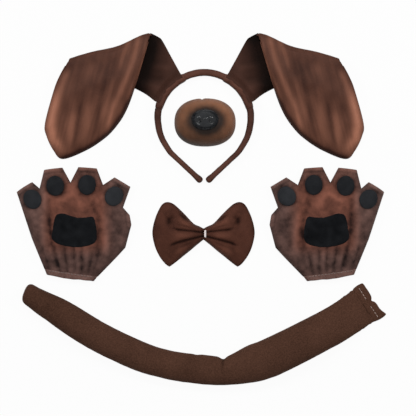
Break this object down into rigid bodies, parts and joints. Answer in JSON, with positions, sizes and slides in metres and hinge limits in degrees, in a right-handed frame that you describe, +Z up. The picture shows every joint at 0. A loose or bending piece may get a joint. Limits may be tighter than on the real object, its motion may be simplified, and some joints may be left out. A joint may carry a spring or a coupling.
{
  "type": "dog costume accessory set",
  "caption": "Dog dress-up set laid flat: headband with folding floppy ears, muzzle nose, fingerless paw gloves with felt pads, bow tie and stuffed tail.",
  "frame": {"origin": "centre of the set's footprint, on the surface that it lies on", "axes": "+X to the right and +Y towards the ears as the set is laid out, +Z up from the surface"},
  "size_m": [0.4787, 0.457, 0.0443],
  "materials": {
    "satin": "brown satin with a soft sheen",
    "lining": "brown satin lining",
    "foam": "cream foam sheet",
    "spring_plastic": "matte dark plastic",
    "latex": "brown latex, airbrushed darker round the nose",
    "nose_black": "glossy black",
    "plush": "short brown plush",
    "felt": "black felt",
    "elastic": "pale elastic",
    "bow_cloth": "brown cloth",
    "velour": "brown velour",
    "stuffing": "white polyester fibre"
  },
  "bodies": {
    "headband": {"headband_core": "spring_plastic", "headband_sleeve": "satin", "left_band_tip": "satin", "right_band_tip": "satin", "left_ear_wrap": "satin", "right_ear_wrap": "satin", "left_root_front": "satin", "left_root_back": "lining", "left_root_foam": "foam", "left_ear_fold": "satin", "right_root_front": "satin", "right_root_back": "lining", "right_root_foam": "foam", "right_ear_fold": "satin"},
    "left_ear": {"left_flap_front": "satin", "left_flap_back": "lining", "left_flap_foam": "foam"},
    "right_ear": {"right_flap_front": "satin", "right_flap_back": "lining", "right_flap_foam": "foam"},
    "nose": {"muzzle": "latex", "nose_tip": "nose_black"},
    "left_paw": {"left_palm_panel": "plush", "left_back_panel": "plush", "left_wrist_hem": "plush", "left_wrist_elastic": "elastic", "left_palm_pad": "felt", "left_toe_pad_1": "felt", "left_toe_pad_2": "felt", "left_toe_pad_3": "felt", "left_toe_pad_4": "felt"},
    "right_paw": {"right_palm_panel": "plush", "right_back_panel": "plush", "right_wrist_hem": "plush", "right_wrist_elastic": "elastic", "right_palm_pad": "felt", "right_toe_pad_1": "felt", "right_toe_pad_2": "felt", "right_toe_pad_3": "felt", "right_toe_pad_4": "felt"},
    "bow_tie": {"bow_front": "bow_cloth", "bow_back": "bow_cloth", "bow_binding": "elastic"},
    "tail": {"tail_cover": "velour", "tail_stuffing": "stuffing", "tail_hem": "velour"}
  },
  "joints": [
    {"name": "left_ear_flop", "type": "hinge", "parent": "headband", "child": "left_ear", "pos_m": [-0.06126, 0.22374, 0.0083], "axis": [-0.9537, -0.3007, 0], "range_deg": [0, 150]},
    {"name": "right_ear_flop", "type": "hinge", "parent": "headband", "child": "right_ear", "pos_m": [0.07126, 0.22374, 0.0083], "axis": [-0.9537, 0.3007, 0], "range_deg": [0, 150]},
    {"name": "nose_lift", "type": "slide", "parent": "headband", "child": "nose", "axis": [0, 0, 1], "range_m": [0, 0.1]},
    {"name": "left_paw_lift", "type": "slide", "parent": "headband", "child": "left_paw", "axis": [0, 0, 1], "range_m": [0, 0.1]},
    {"name": "right_paw_lift", "type": "slide", "parent": "headband", "child": "right_paw", "axis": [0, 0, 1], "range_m": [0, 0.1]},
    {"name": "bow_tie_lift", "type": "slide", "parent": "headband", "child": "bow_tie", "axis": [0, 0, 1], "range_m": [0, 0.1]},
    {"name": "tail_lift", "type": "slide", "parent": "headband", "child": "tail", "axis": [0, 0, 1], "range_m": [0, 0.1]}
  ]
}
